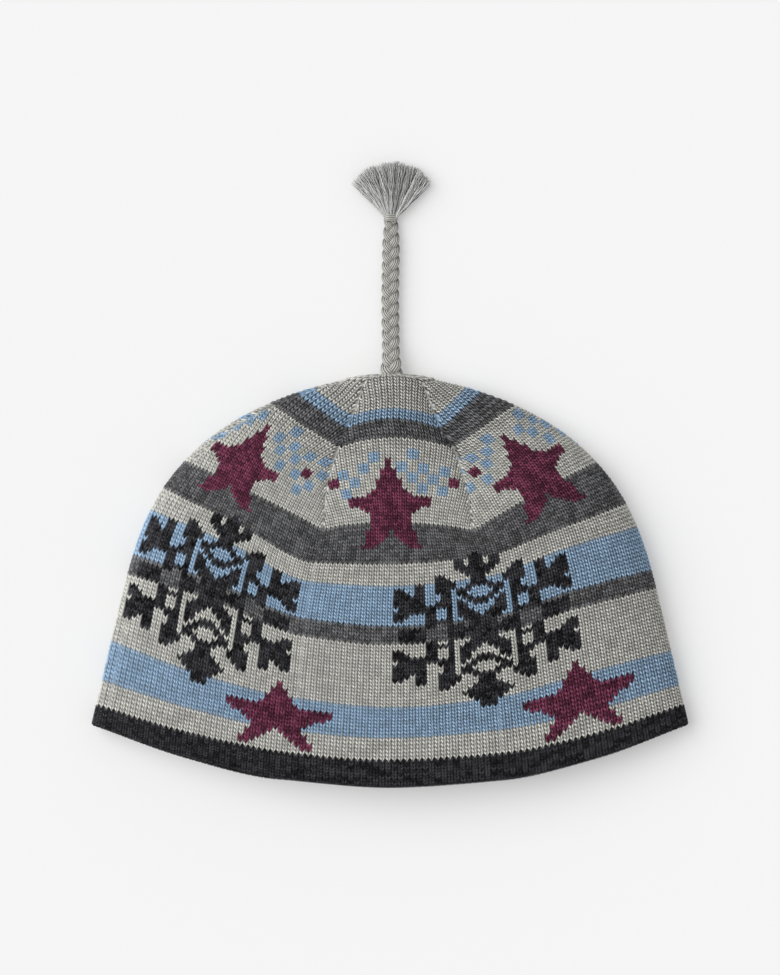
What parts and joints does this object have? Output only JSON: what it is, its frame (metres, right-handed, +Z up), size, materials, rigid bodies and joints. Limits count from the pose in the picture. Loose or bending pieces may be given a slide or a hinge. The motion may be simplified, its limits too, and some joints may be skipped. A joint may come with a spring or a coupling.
{
  "type": "tassel beanie",
  "caption": "Knitted round-crown hat lying flat on its back, open at a turned-up hem, with shaped darts closing the crown and a plaited cord ending in a yarn fringe.",
  "frame": {"origin": "middle of the hat's footprint on the surface that it lies on, without the plait and its fringe", "axes": "+X across the hat from fold to fold, +Y from the hem to the crown and the tassel, +Z up from the surface to the front of the hat"},
  "size_m": [0.2796, 0.2954, 0.034],
  "materials": {
    "patterned_knit": "stranded wool knit in light and mid heather grey, sky blue, burgundy and charcoal",
    "charcoal_knit": "charcoal heather wool knit",
    "grey_yarn": "light grey fine wool yarn, plaited and cut"
  },
  "bodies": {
    "root": {"knit_shell": "patterned_knit", "hem_band": "charcoal_knit", "braid": "grey_yarn", "braid_tie": "grey_yarn", "fringe": "grey_yarn"}
  },
  "joints": []
}
